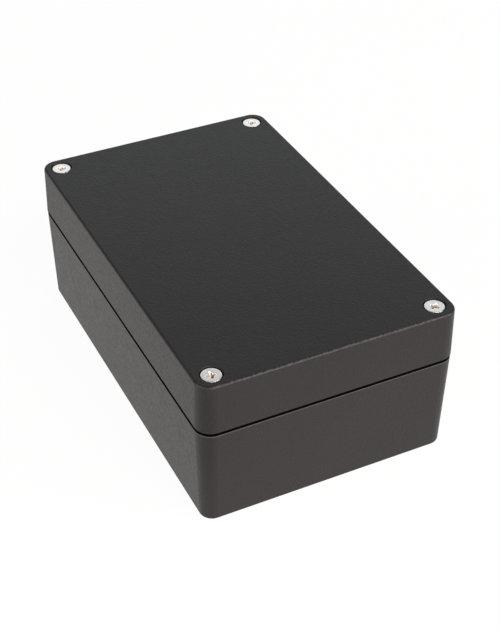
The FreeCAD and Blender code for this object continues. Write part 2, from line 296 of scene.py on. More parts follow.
class Shader(Nodes):
    """One procedural material under construction."""

    def __init__(self, name: str) -> None:
        """Start a material.

        Args:
            name: Name of the material.
        """
        self.material = bpy.data.materials.new(name)
        super().__init__(self.material)

    def point(self) -> bpy.types.NodeSocket:
        """Place on the piece, in metres, in the frame that all solids share."""
        return self.node("ShaderNodeTexCoord").outputs["Object"]

    def millimetres(self) -> tuple[Value, Value, Value]:
        """The place on the piece as three numbers in millimetres."""
        parts = self.node("ShaderNodeSeparateXYZ", {}, {0: self.point()}).outputs
        return tuple(Value(self, part) / MM for part in parts)

    def beyond(self, half_length: float, half_width: float, radius: float) -> Value:
        """Distance in plan beyond a rounded rectangle about the origin, below zero inside it.

        Beside a straight side it is the larger of the two side distances, and past a corner the
        distance to the centre of its round, each less the radius.

        Args:
            half_length: Half of the rectangle along X, in millimetres.
            half_width: Half of it along Y.
            radius: Radius of its corners.

        Returns:
            The distance in millimetres.
        """
        x, y, _ = self.millimetres()
        past_x = abs(x) - (half_length - radius)
        past_y = abs(y) - (half_width - radius)
        outside_x, outside_y = past_x.highest(0.0), past_y.highest(0.0)
        past_corner = (outside_x * outside_x + outside_y * outside_y).root()
        return past_corner + past_x.highest(past_y).lowest(0.0) - radius

    def grain(self, size: float, detail: float = 2.0, rough: float = 0.5) -> Value:
        """Cloudy noise whose patches are about size millimetres across, from 0 to 1."""
        scale = 1.0 / (size * MM)
        inputs = {"Vector": self.point(), "Scale": scale, "Detail": detail, "Roughness": rough}
        return self.value("ShaderNodeTexNoise", {"noise_dimensions": "3D"}, inputs, "Fac")

    def speckle(self, size: float, share: float) -> Value:
        """Small dots: the share of each cell of that many millimetres that lies by its centre."""
        inputs = {"Vector": self.point(), "Scale": 1.0 / (size * MM), "Randomness": 1.0}
        distance = self.value("ShaderNodeTexVoronoi", {"feature": "F1"}, inputs, "Distance")
        return distance.step(share, share * 0.45)

    def mixed(self, amount: Number, first: object, second: object) -> bpy.types.NodeSocket:
        """Colour between two colours, by an amount from 0 to 1."""
        inputs = {0: amount, 6: first, 7: second}
        return self.node("ShaderNodeMix", {"data_type": "RGBA"}, inputs).outputs[2]

    def tinted(self, colour: object, factor: Value) -> bpy.types.NodeSocket:
        """A colour made lighter or darker by a number about 1."""
        inputs = {0: colour, "Scale": factor}
        return self.node("ShaderNodeVectorMath", {"operation": "SCALE"}, inputs).outputs[0]

    def relief(self, height: Value, depth: float) -> bpy.types.NodeSocket:
        """Bump whose height of 1 stands for a depth in millimetres."""
        inputs = {"Height": height, "Distance": depth * MM, "Strength": 1.0}
        return self.node("ShaderNodeBump", {}, inputs).outputs[0]

    def surface(self, **sockets: object) -> bpy.types.Material:
        """Close the tree with one shader.

        Args:
            sockets: Inputs of the shader, spelt with underscores for spaces.

        Returns:
            The finished material.
        """
        inputs = {key.replace("_", " "): given for key, given in sockets.items()}
        shader = self.node("ShaderNodeBsdfPrincipled", {}, inputs)
        self.node("ShaderNodeOutputMaterial", {}, {"Surface": shader.outputs[0]})
        return self.material


# Finishes

@dataclass(frozen=True)
class PowderCoat:
    """Fine-textured satin black powder on cast aluminium, left off the machined faces."""

    black: Colour = (0.0151, 0.0141, 0.014)
    # Also the colour of the painted highlights on the rim and the top edges.
    fleck: Colour = (0.085, 0.083, 0.082)
    metal: Colour = (0.72, 0.72, 0.715)
    roughness: float = 0.42
    specular: float = 0.21
    grain_size: float = 0.95
    grain_depth: float = 0.1
    wave_size: float = 3.4
    wave_depth: float = 0.02
    cloud_size: float = 38.0
    fleck_size: float = 0.9
    fleck_share: float = 0.13
    patch_size: float = 2.2
    patch_band: Band = (0.42, 0.62)
    # Painted highlight: bands of lighter specks along the top edges at both short ends.
    top_edge_highlight_x: Band = (78.6, 79.2)
    top_edge_highlight_z: Band = (61.25, 61.5)
    # Painted highlight: bands of a lighter coat on the rim's outer edge at the short ends.
    rim_highlight_x: Band = (70.0, 76.0)
    rim_highlight_edge: Band = (0.42, 0.22)
    # Painted shade: bands of matt black beside the gap on the long sides.
    shaded_x: Band = (78.0, 70.0)
    shaded_edge: Band = (0.4, 0.5)
    skirt_edge: float = 0.22
    mill_mark: float = 0.22
    mill_roughness: float = 0.3
    thread_depth: float = 0.4
    thread_margin: float = 0.25
    layout: Layout = Layout()

    def _disc(self, across: Value, along: Value, radius: float) -> Value:
        """1 inside a circle about the origin of two numbers, fading over 0.1 mm at its rim."""
        return (across * across + along * along).root().step(radius + 0.05, radius - 0.05)

    def _level(self, height: Value, z: float) -> Value:
        """1 within 0.05 mm of a height, 0 beyond 0.09 mm."""
        return abs(height - z).step(0.09, 0.05)

    def _between(self, height: Value, low: float, high: float) -> Value:
        """1 between two heights, 0 more than 0.1 mm beyond them."""
        return height.step(low - 0.1, low) * height.step(high + 0.1, high)

    def machined(self, shader: Shader) -> tuple[Value, Value, Value]:
        """Where the castings are bare.

        The pads and bosses are discs about the screw axes at their own heights. A tapped hole is
        the inside of its circle. Its thread is a triangle wave of the height over the pitch less
        the share of a turn about the axis, so that it climbs to the right.

        Args:
            shader: The material under construction.

        Returns:
            Share of bare metal, thread height from 0 to 1, and share of thread, at each point.
        """
        at = self.layout
        x, y, z = shader.millimetres()
        pad_x = x - x.sign() * at.screw_x
        pad_y = y - y.sign() * at.screw_y
        plate_x = x - (x / at.plate_x).nearest() * at.plate_x
        plate_y = y - y.sign() * at.plate_y
        earth_x = x - at.earth_x
        pads = self._disc(pad_x, pad_y, at.pad_radius) * self._level(z, at.seat_z)
        bosses = self._disc(plate_x, plate_y, at.plate_radius) * self._level(z, at.plate_z)
        stands = self._level(z, at.base_earth_z).highest(self._level(z, at.lid_earth_z))
        earths = self._disc(earth_x, y, at.earth_radius) * stands
        tapped = (
            (pad_x, pad_y, at.seat_z - at.pillar_hole, at.seat_z),
            (plate_x, plate_y, at.plate_z - at.plate_hole, at.plate_z),
            (earth_x, y, at.base_earth_z - at.earth_hole, at.lid_earth_z + at.earth_hole),
        )
        wide = at.tapped_radius + self.thread_margin
        holes, turn = 0.0, 0.0
        for across, along, low, high in tapped:
            hole = self._disc(across, along, wide) * self._between(z, low, high)
            holes = hole.highest(holes)
            turn = hole * along.angle(across) + turn
        thread = abs((z / at.pitch - turn / TURN).saw() - 0.5) * 2.0
        bare = pads.highest(bosses).highest(earths).highest(holes)
        return bare, thread, holes

    def joint(self, shader: Shader) -> tuple[Value, Value]:
        """Painted shade where the castings face each other, painted highlight on the rim's outer edge.

        Args:
            shader: The material under construction.

        Returns:
            Share of painted shade, matt black on the rim, the rib, the lower edge of the skirt and
            the long sides' edges beside the gap, and share of painted highlight, a lighter coat on
            the short sides' rim.
        """
        at = self.layout
        x, y, z = shader.millimetres()
        beyond = shader.beyond(at.half_length, at.half_width, at.corner_radius)
        # Painted shade: the faces where the castings meet, the skirt's lower edge and the long sides'
        # edges by the gap are painted matt black.
        facing = beyond.step(0.0, -0.15) * self._between(z, at.rim_z - 0.1, at.rib_z + 0.1)
        skirt = self._between(z, at.skirt_z - 0.1, at.skirt_z + self.skirt_edge)
        long_side = abs(y).step(at.half_width - 1.1, at.half_width - 0.8) * abs(x).step(*self.shaded_x)
        low, high = at.rim_z - self.shaded_edge[0], at.skirt_z + self.shaded_edge[1]
        edges = self._between(z, low, high) * long_side
        # Painted highlight: a lighter band on the rim's rounded outer edge at the short ends.
        short_side = beyond.step(-0.6, -0.5) * abs(x).step(*self.rim_highlight_x)
        low, high = (at.rim_z - below for below in self.rim_highlight_edge)
        rim_highlight = self._between(z, low, high) * short_side
        return facing.highest(skirt).highest(edges), rim_highlight

    def build(self) -> bpy.types.Material:
        """The coat over the bare metal, blended by where the tools cut after coating.

        Returns:
            The material of both castings.
        """
        shader = Shader("powder_coat_black")
        bare, thread, holes = self.machined(shader)
        grain = shader.grain(self.grain_size, detail=2.5, rough=0.55)
        wave = shader.grain(self.wave_size, detail=1.0)
        cloud = shader.grain(self.cloud_size)
        patches = shader.grain(self.patch_size).step(*self.patch_band)
        fleck = shader.speckle(self.fleck_size, self.fleck_share) * patches
        tone = 0.74 + cloud * 0.22 + grain * 0.3
        joint, rim_highlight = self.joint(shader)
        x, y, z = shader.millimetres()
        # Painted highlight: lighter specks along the top edges at both short ends.
        top_edge_highlight = z.step(*self.top_edge_highlight_z) * abs(x).step(*self.top_edge_highlight_x) * grain.step(*self.patch_band)
        # light mixes the coat's own flecks with the painted highlights on the rim and the top edges.
        light = (fleck * 0.55).highest(rim_highlight * 0.6).highest(top_edge_highlight * 0.3)
        # The painted shade by the gap darkens the coat here; below, its share also raises metallic and
        # roughness, which keeps that painted shade matt black.
        coat = shader.mixed(light, shader.tinted(self.black, tone * (1.0 - joint * 0.85)), self.fleck)
        cut = (((x * x + y * y).root() / self.mill_mark).saw() - 0.5) * 0.2 + grain * 0.3 + 0.8
        coat_rough = self.roughness + (grain - 0.5) * 0.3 + (wave - 0.5) * 0.06 + joint * 0.5
        uneven = (grain * self.grain_depth + wave * self.wave_depth) * (1.0 - bare)
        return shader.surface(
            Base_Color=shader.mixed(bare, coat, shader.tinted(self.metal, cut)),
            Metallic=bare.highest(joint * 0.8),
            Roughness=coat_rough + bare * (self.mill_roughness - coat_rough),
            Specular_IOR_Level=self.specular,
            Normal=shader.relief(uneven + thread * holes * self.thread_depth, 1.0),
        )


@dataclass(frozen=True)
class ScrewSteel:
    """Bright steel with a fine grain and small scuffs."""

    slot: str = "screw_steel"
    steel: Colour = (0.99, 0.935, 0.895)
    recess_brown: Colour = (0.3, 0.25, 0.2)
    roughness: float = 0.36
    recess_z: Band = (61.52, 61.02)
    recess_rim: Band = (2.15, 1.95)
    recess_end: Band = (58.0, 59.4)
    recess_brown_share: float = 0.7

    def build(self) -> bpy.types.Material:
        """Steel that is lighter on its faces and brown in its recesses.

        Returns:
            The material.
        """
        shader = Shader("satin_steel")
        grain = shader.grain(0.16, detail=3.0, rough=0.6)
        scuff = shader.grain(0.9)
        depth = self.depth(shader)
        tone = 0.89 + grain * 0.14 + scuff * 0.1
        colour = shader.mixed(depth * self.recess_brown_share, shader.tinted(self.steel, tone), self.recess_brown)
        return shader.surface(
            Base_Color=colour,
            Metallic=1.0 - depth * 0.35,
            Roughness=self.roughness + (grain - 0.5) * 0.14 + (scuff - 0.5) * 0.16 + depth * 0.15,
            Normal=shader.relief(grain + scuff, 0.006),
        )

    def depth(self, shader: Shader) -> Value:
        """Share of the darker brown colour: 1 inside the four cross recesses, below the tops of the
        heads.
        """
        at = Layout()
        x, y, z = shader.millimetres()
        away = ((x - x.sign() * at.screw_x) ** 2.0 + (y - y.sign() * at.screw_y) ** 2.0).root()
        return z.step(*self.recess_z) * away.step(*self.recess_rim) * z.step(*self.recess_end)


@dataclass(frozen=True)
class ZincPlate:
    """Blue-white zinc plate on the earth hardware."""

    slot: str = "zinc_steel"
    zinc: Colour = (0.62, 0.64, 0.66)
    haze: Colour = (0.5, 0.53, 0.6)

    def build(self) -> bpy.types.Material:
        """Zinc with a faint bluish haze and a fine crystalline grain.

        Returns:
            The material.
        """
        shader = Shader("zinc_plate")
        grain = shader.grain(0.12)
        haze = shader.grain(1.6)
        plain = shader.tinted(self.zinc, 0.88 + grain * 0.24)
        return shader.surface(
            Base_Color=shader.mixed(haze.step(0.35, 0.75), plain, self.haze),
            Metallic=1.0,
            Roughness=0.3 + grain * 0.1 + haze * 0.08,
            Normal=shader.relief(grain, 0.004),
        )


@dataclass(frozen=True)
class SealFoam:
    """Matt foamed rubber with a skin of small open pores."""

    slot: str = "seal_rubber"
    rubber: Colour = (0.03, 0.03, 0.032)
    specular: float = 0.3
    pore_size: float = 0.28

    def build(self) -> bpy.types.Material:
        """Dark rubber whose pores are darker and sunk.

        Returns:
            The material.
        """
        shader = Shader("foamed_rubber")
        pores = shader.speckle(self.pore_size, 0.3)
        dust = shader.grain(1.4, detail=3.0)
        return shader.surface(
            Base_Color=shader.tinted(self.rubber, 0.8 + dust * 0.5 - pores * 0.3),
            Roughness=0.82 + dust * 0.1,
            Specular_IOR_Level=self.specular,
            Normal=shader.relief(1.0 - pores, 0.03),
        )


@dataclass(frozen=True)
class Nylon:
    """Natural nylon, slightly waxy, of the captive washers."""

    slot: str = "retainer_nylon"
    nylon: Colour = (0.82, 0.8, 0.74)

    def build(self) -> bpy.types.Material:
        """Pale nylon with soft flow marks.

        Returns:
            The material.
        """
        shader = Shader("natural_nylon")
        flow = shader.grain(1.1)
        return shader.surface(
            Base_Color=shader.tinted(self.nylon, 0.93 + flow * 0.1),
            Roughness=0.38 + flow * 0.12,
            Subsurface_Weight=0.15,
            Subsurface_Radius=(0.002, 0.0018, 0.0012),
            Subsurface_Scale=0.4,
            Normal=shader.relief(flow, 0.01),
        )


# Surfaces

def in_scene(name: str, data: bpy.types.ID) -> bpy.types.Object:
    """Make an object of a mesh, a lamp or a camera and put it in the scene."""
    made = bpy.data.objects.new(name, data)
    bpy.context.scene.collection.objects.link(made)
    return made


@dataclass(frozen=True)
class Sheet:
    """Points in millimetres and the faces between them, facing outwards."""

    points: np.ndarray
    faces: tuple[np.ndarray, ...]

    @staticmethod
    def lofted(rings: np.ndarray, first: np.ndarray, last: np.ndarray, cut: bool = False) -> "Sheet":
        """Closed rings joined one to the next, with a pole before the first and after the last.

        A face joins point (row, column) to its neighbours along the ring and on the next ring.
        A pole is one point, joined by triangles to the end ring.

        Args:
            rings: Points by row, column and axis. Columns run counter-clockwise about the
                direction in which the rows run.
            first: Pole before the first ring.
            last: Pole after the last ring.
            cut: Whether each face is cut in two from its first corner to the one across.

        Returns:
            The closed surface.
        """
        rows, columns, _ = rings.shape
        here = np.arange(rows * columns).reshape(rows, columns)
        beside = np.roll(here, -1, axis=1)
        quads = np.stack([here[:-1], beside[:-1], beside[1:], here[1:]], axis=-1).reshape(-1, 4)
        faces = [quads[:, :3], quads[:, [0, 2, 3]]] if cut else [quads]
        tip = np.full(columns, rows * columns)
        faces.append(np.stack([tip, beside[0], here[0]], axis=-1))
        faces.append(np.stack([tip + 1, here[-1], beside[-1]], axis=-1))
        return Sheet(np.concatenate([rings.reshape(-1, 3), [first, last]]), tuple(faces))

    @staticmethod
    def looped(rings: np.ndarray) -> "Sheet":
        """Closed rings joined one to the next and the last to the first, as on a torus."""
        rows, columns, _ = rings.shape
        here = np.arange(rows * columns).reshape(rows, columns)
        beside = np.roll(here, -1, axis=1)
        after = np.roll(here, -1, axis=0)
        quads = np.stack([here, beside, np.roll(after, -1, axis=1), after], axis=-1)
        return Sheet(rings.reshape(-1, 3), (quads.reshape(-1, 4),))

    def placed(self, x: float, y: float, z: float = 0.0, upward: float = 1.0) -> "Sheet":
        """The same surface moved, and first turned half a turn about X where upward is -1."""
        spin = np.array([1.0, upward, upward])
        return Sheet(self.points * spin + np.array([x, y, z]), self.faces)

    def piece(self, name: str, material: bpy.types.Material, *more: "Sheet") -> bpy.types.Object:
        """Make a mesh of this and further surfaces.

        Args:
            name: Name of the piece.
            material: Its finish.
            more: Surfaces that are part of the same piece.

        Returns:
            The piece, at the origin, with smooth faces and sharp edges kept.
        """
        points, faces = [], []
        for sheet in (self, *more):
            for block in sheet.faces:
                faces.extend((block + len(points)).tolist())
            points.extend((sheet.points * MM).tolist())
        mesh = bpy.data.meshes.new(name)
        mesh.from_pydata(points, [], faces)
        mesh.polygons.foreach_set("use_smooth", np.ones(len(mesh.polygons), bool))
        mesh.materials.append(material)
        mesh.set_sharp_from_angle(angle=SHARP_ANGLE)
        mesh.update()
        return in_scene(name, mesh)


def circle(count: int) -> np.ndarray:
    """Equal angles of one turn, in radians."""
    return np.arange(count) * (TURN / count)


def about_axis(radius: np.ndarray, angles: np.ndarray, height: np.ndarray) -> np.ndarray:
    """Grid of points (r cos a, r sin a, z) from radii, angles and heights that fit one grid."""
    grid = np.broadcast_arrays(radius * np.cos(angles), radius * np.sin(angles), height)
    return np.stack(grid, axis=-1)


def squarish(count: int, power: float) -> tuple[np.ndarray, np.ndarray]:
    """Clockwise section between a rectangle and an ellipse, from -1 to 1 both ways.

    At angle a it is |cos a|^p across and |sin a|^p upright, each with its own sign.

    Args:
        count: Number of points.
        power: The power p: 1 gives a circle, and near 0 a square with small rounds.

    Returns:
        The points' places across and upright.
    """
    around = circle(count)[::-1]
    across, upright = np.cos(around), np.sin(around)
    return np.sign(across) * np.abs(across) ** power, np.sign(upright) * np.abs(upright) ** power


def rounded_corner(
    centre: tuple[float, float], radius: float, start: float, end: float, count: int = 6
) -> np.ndarray:
    """Arc about a centre from a start to an end angle in degrees, as radii and heights."""
    sweep = np.radians(np.linspace(start, end, count))
    return np.array(centre) + radius * np.stack([np.cos(sweep), np.sin(sweep)], axis=-1)


@dataclass(frozen=True)
class CrossRecess:
    """Cross recess of a driver: four tapered wings about a round pit."""

    span: float = 3.8
    slot: float = 1.0
    pit: float = 1.15
    depth: float = 1.9
    mouth_round: float = 0.07
    pit_slope: float = 0.35
    squareness: float = 7.0
    blending: float = 11.0
    columns: int = 112

    def radius(self, angles: np.ndarray, sunk: np.ndarray) -> np.ndarray:
        """Radius of the recess.

        A wing is a squarish ellipse as long as the span and as wide as the slot, which in polar
        form is ((|cos a| / half length)^n + (|sin a| / half width)^n)^(-1/n). The recess is the
        smooth largest of two crossed wings and the pit, a power mean with a high power. Sunk runs
        from 0 at the mouth to 1 at the bottom; the wings shorten with it, and the pit narrows.

        Args:
            angles: Angle about the axis, one column each.
            sunk: Share of the depth, one row each.

        Returns:
            Radius by row and column.
        """
        half_length = self.span / 2.0 * (1.0 - 0.52 * sunk ** 1.25)
        half_width = self.slot / 2.0 * (1.0 - 0.22 * sunk)
        across = np.abs(np.cos(angles))
        along = np.abs(np.sin(angles))

        def wing(lengthwise: np.ndarray, sideways: np.ndarray) -> np.ndarray:
            """Squarish ellipse in polar form, to the power that blends."""
            power = self.squareness
            total = (lengthwise / half_length) ** power + (sideways / half_width) ** power
            return total ** (-self.blending / power)

        pit = (self.pit * (1.0 - 0.45 * sunk)) ** self.blending
        return (wing(across, along) + wing(along, across) + pit) ** (1.0 / self.blending)

    def angles(self) -> np.ndarray:
        """Angles whose points on the mouth lie at equal distances along its outline."""
        fine = circle(4096)
        radius = self.radius(fine, np.zeros((1, 1)))[0]
        outline = np.stack([radius * np.cos(fine), radius * np.sin(fine)], axis=-1)
        steps = np.linalg.norm(np.roll(outline, -1, axis=0) - outline, axis=1)
        run = np.concatenate([[0.0], np.cumsum(steps)])
        wanted = np.linspace(0.0, run[-1], self.columns, endpoint=False)
        return np.interp(wanted, run, np.append(fine, TURN))

    def rings(self, top: float) -> np.ndarray:
        """Rings from the bottom of the pit up to a rounded mouth.

        Args:
            top: Height of the face that the recess is sunk in.

        Returns:
            Points by row, column and axis, unturned.
        """
        angles = self.angles()
        sunk = np.linspace(1.0, 0.0, 12)[:, None]
        walls = self.radius(angles, sunk)
        heights = top - self.mouth_round - sunk * (self.depth - self.pit_slope)
        floor = walls[:1] * np.array([[0.35], [0.8]])
        floor_heights = heights[:1] - np.array([[0.26], [0.08]])
        roll = np.radians(np.linspace(30.0, 90.0, 3))[:, None]
        mouth = walls[-1:] + self.mouth_round * (1.0 - np.cos(roll))
        mouth_heights = top - self.mouth_round * (1.0 - np.sin(roll))
        radius = np.concatenate([floor, walls, mouth])
        return about_axis(radius, angles, np.concatenate([floor_heights, heights, mouth_heights]))


def drilled_head(recess: CrossRecess, outline: np.ndarray, turn: float) -> Sheet:
    """A screw head: recess, top face and outside in one skin.

    The top face blends each ray from the mouth of the recess to the first ring of the outside.

    Args:
        recess: The driver's recess.
        outline: Radius and height of each ring of the outside, from the top face down to the axis.
        turn: Turn of the recess about the axis, in radians.

    Returns:
        The closed surface.
    """
    inner = recess.rings(outline[0, 1])
    outer = about_axis(outline[:, :1], recess.angles(), outline[:, 1:])
    share = np.linspace(0.0, 1.0, 6)[1:-1, None, None]
    face = inner[-1:] * (1.0 - share) + outer[:1] * share
    rings = np.concatenate([inner, face, outer])
    cosine, sine = math.cos(turn), math.sin(turn)
    rings = rings @ np.array([[cosine, sine, 0.0], [-sine, cosine, 0.0], [0.0, 0.0, 1.0]])
    tip, pit = (0.0, 0.0, outline[-1, 1]), (0.0, 0.0, outline[0, 1] - recess.depth)
    return Sheet.lofted(rings[::-1], tip, pit)


def threaded_rod(low: float, high: float, pitch: float, crest: float, columns: int = 32) -> Sheet:
    """A right-hand screw thread between two heights.

    The radius at height z and angle a is the root plus a trapezium wave of z over the pitch less
    a over one turn. The wave is at its crest for a quarter of the pitch and at its root for an
    eighth. It fades into the root over about a turn at each end, and the free end is pointed. One
    pitch has as many rows as one turn has columns, so a face's diagonal follows the crest.

    Args:
        low: Height of the free end.
        high: Height where the thread runs out.
        pitch: Rise of one turn.
        crest: Outside radius.
        columns: Columns round the rod.

    Returns:
        The closed surface.
    """
    depth = 0.54 * pitch
    rows = int(round((high - low) / pitch * columns)) + 1
    heights = low + np.arange(rows) * (pitch / columns)
    angles = circle(columns)
    phase = heights[:, None] / pitch - angles / TURN
    saw = np.abs(phase - np.round(phase)) * 2.0
    wave = np.clip((0.88 - saw) / 0.63, 0.0, 1.0)
    start = np.clip((heights - low) / (0.9 * pitch), 0.0, 1.0)
    end = np.clip((heights[-1] - heights) / pitch, 0.0, 1.0)
    point = np.clip((heights - low) / (0.8 * pitch), 0.0, 1.0)
    root = (crest - depth) * (0.86 + 0.14 * point)
    radius = root[:, None] + depth * wave * (start * end)[:, None]
    rings = about_axis(radius, angles, heights[:, None])
    foot, head = ((0.0, 0.0, height) for height in heights[[0, -1]])
    return Sheet.lofted(rings, foot, head, cut=True)


# Sub-assemblies

@dataclass
class Castings:
    """The base and the lid, whose solids stay and take their coat."""

    coat: PowderCoat = PowderCoat()

    def dress(self, nodes: Mapping[str, bpy.types.Object]) -> list[bpy.types.Object]:
        """Give both castings their finish.

        Args:
            nodes: The solids by name.

        Returns:
            The dressed solids.
        """
        material = self.coat.build()
        castings = [nodes[half.label] for half in Half]
        for casting in castings:
            for slot in casting.material_slots:
                slot.material = material
        return castings


@dataclass
class LidScrew:
    """A captive countersunk screw with a waist above its thread."""

    corner: Corner
    layout: Layout = Layout()
    head_radius: float = 3.65
    head_top: float = 61.6
    head_land: float = 0.3
    edge_round: float = 0.12
    neck_round: float = 0.5
    waist_radius: float = 1.6
    waist_low: float = 41.2
    thread_radius: float = 2.0
    thread_low: float = 31.6
    thread_high: float = 41.8
    recess: CrossRecess = CrossRecess()

    def outline(self) -> np.ndarray:
        """Outside of the head and waist, as radius and height from the top face down."""
        edge = (self.head_radius - self.edge_round, self.head_top - self.edge_round)
        rim = rounded_corner(edge, self.edge_round, 90.0, 0.0)
        land = self.head_top - self.head_land
        cone_low = land - (self.head_radius - self.waist_radius)
        cone = [(self.head_radius, land + 0.02), (self.head_radius - 0.04, land - 0.04)]
        under_cone = (self.waist_radius + self.neck_round, cone_low - 0.21)
        neck = rounded_corner(under_cone, self.neck_round, 135.0, 180.0)
        waist = [
            (self.waist_radius, self.waist_low + 0.1),
            (self.waist_radius - 0.1, self.waist_low),
            (self.waist_radius * 0.4, self.waist_low),
        ]
        return np.concatenate([rim, cone, neck, waist])

    def build(self, material: bpy.types.Material) -> bpy.types.Object:
        """Make the screw and put it in place of its solid.

        Args:
            material: Its finish.

        Returns:
            The piece.
        """
        x, y = self.corner.axis(self.layout.screw_x, self.layout.screw_y)
        head = drilled_head(self.recess, self.outline(), self.corner.recess_turn)
        rod = threaded_rod(self.thread_low, self.thread_high, self.layout.pitch, self.thread_radius)
        name = f"captive_screw_{self.corner.label}"
        piece = head.placed(x, y).piece(name, material, rod.placed(x, y))
        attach(piece, f"{self.corner.label}_screw")
        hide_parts(f"lid_screw_{self.corner.label}")
        return piece


@dataclass
class CaptiveWasher:
    """A nylon washer that grips the waist of a lid screw with three lobes."""

    corner: Corner
    layout: Layout = Layout()
    low: float = 41.85
    thickness: float = 1.2
    radius: float = 3.3
    bore: float = 1.68
    lobe: float = 0.22
    squareness: float = 0.35
    columns: int = 96

    def build(self, material: bpy.types.Material) -> bpy.types.Object:
        """Make the washer and put it in place of its solid.

        The section is a squarish one between the bore and the rim. The bore opens between three
        lobes by a cosine of three times the angle.

        Args:
            material: Its finish.

        Returns:
            The piece.
        """
        across, upright = squarish(28, self.squareness)
        angles = circle(self.columns)[:, None]
        bore = self.bore + self.lobe * 0.5 * (1.0 - np.cos(3.0 * angles))
        radius = (self.radius + bore) / 2.0 + (self.radius - bore) / 2.0 * across
        height = self.low + self.thickness / 2.0 * (1.0 + upright)
        x, y = self.corner.axis(self.layout.screw_x, self.layout.screw_y)
        ring = Sheet.looped(about_axis(radius, angles, height))
        piece = ring.placed(x, y).piece(f"captive_washer_{self.corner.label}", material)
        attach(piece, f"{self.corner.label}_washer")
        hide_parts(f"retainer_{self.corner.label}")
        return piece


@dataclass
class EarthTerminal:
    """Protective earth: pan head screw, split lock washer and flat washer on a bare boss."""

    half: Half
    layout: Layout = Layout()
    screw_length: float = 8.0
    thread_radius: float = 2.0
    pan_radius: float = 4.0
    pan_height: float = 2.8
    pan_round: float = 1.1
    flat_radius: float = 4.5
    flat_bore: float = 2.15
    flat_thickness: float = 0.8
    lock_radius: float = 3.8
    lock_bore: float = 2.1
    lock_thickness: float = 0.9
    lock_gap: float = 0.5
    lock_gap_turn: float = 35.0
    lock_lean: float = 0.8
    recess: CrossRecess = CrossRecess(depth=1.7)
    recess_turn: float = 20.0

    def _screw(self, under_head: float) -> tuple[Sheet, Sheet]:
        """Head and thread of the pan head screw, with the underside of the head at a height."""
        top = under_head + self.pan_height
        edge = (self.pan_radius - self.pan_round, top - self.pan_round)
        rim = rounded_corner(edge, self.pan_round, 90.0, 0.0, 9)
        side = [
            (self.pan_radius, under_head + 0.08),
            (self.pan_radius - 0.08, under_head),
            (self.thread_radius, under_head),
            (self.thread_radius - 0.1, under_head - 0.4),
            (0.6, under_head - 0.4),
        ]
        head = drilled_head(self.recess, np.concatenate([rim, side]), math.radians(self.recess_turn))
        low, high = under_head - self.screw_length, under_head - 0.2
        return head, threaded_rod(low, high, self.layout.pitch, self.thread_radius, columns=20)

    def _ring(self, low: float, thickness: float, bore: float, radius: float) -> Sheet:
        """Flat washer, a squarish section carried round one turn."""
        across, upright = squarish(24, 0.25)
        span = (bore + radius) / 2.0 + (radius - bore) / 2.0 * across
        height = low + thickness / 2.0 * (1.0 + upright)
        return Sheet.looped(about_axis(span, circle(96)[:, None], height))

    def _spring(self, low: float) -> Sheet:
        """Split washer.

        A squarish section is carried round the turn that the gap leaves. The gap leans: over the
        washer's thickness it moves sideways by the lean times that thickness.
        """
        across, upright = squarish(24, 0.3)
        middle = (self.lock_bore + self.lock_radius) / 2.0
        gap = self.lock_gap / middle
        share = np.linspace(0.0, 1.0, 90)[:, None]
        lean = upright * self.lock_thickness / 2.0 / middle * self.lock_lean
        angles = math.radians(self.lock_gap_turn) + gap / 2.0 + share * (TURN - gap) + lean
        span = middle + (self.lock_radius - self.lock_bore) / 2.0 * across
        rings = about_axis(span, angles, low + self.lock_thickness / 2.0 * (1.0 + upright))
        return Sheet.lofted(rings, rings[0].mean(axis=0), rings[-1].mean(axis=0))

    def build(self, material: bpy.types.Material) -> list[bpy.types.Object]:
        """Make the three pieces and put them in place of their solids.

        Args:
            material: Their finish.

        Returns:
            The pieces.
        """
        name = f"{self.half.label}_earth"
        place = (self.layout.earth_x, 0.0, self.layout.earth_z(self.half), self.half.upward)
        under_head = self.flat_thickness + self.lock_thickness
        head, rod = self._screw(under_head)
        flat = self._ring(0.0, self.flat_thickness, self.flat_bore, self.flat_radius)
        spring = self._spring(self.flat_thickness)
        made = {
            "screw": head.placed(*place).piece(f"{name}_pan_screw", material, rod.placed(*place)),
            "lock_washer": spring.placed(*place).piece(f"{name}_spring_washer", material),
            "washer": flat.placed(*place).piece(f"{name}_flat_washer", material),
        }
        for node, piece in made.items():
            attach(piece, self.half.body)
            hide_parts(f"{name}_{node}")
        return list(made.values())


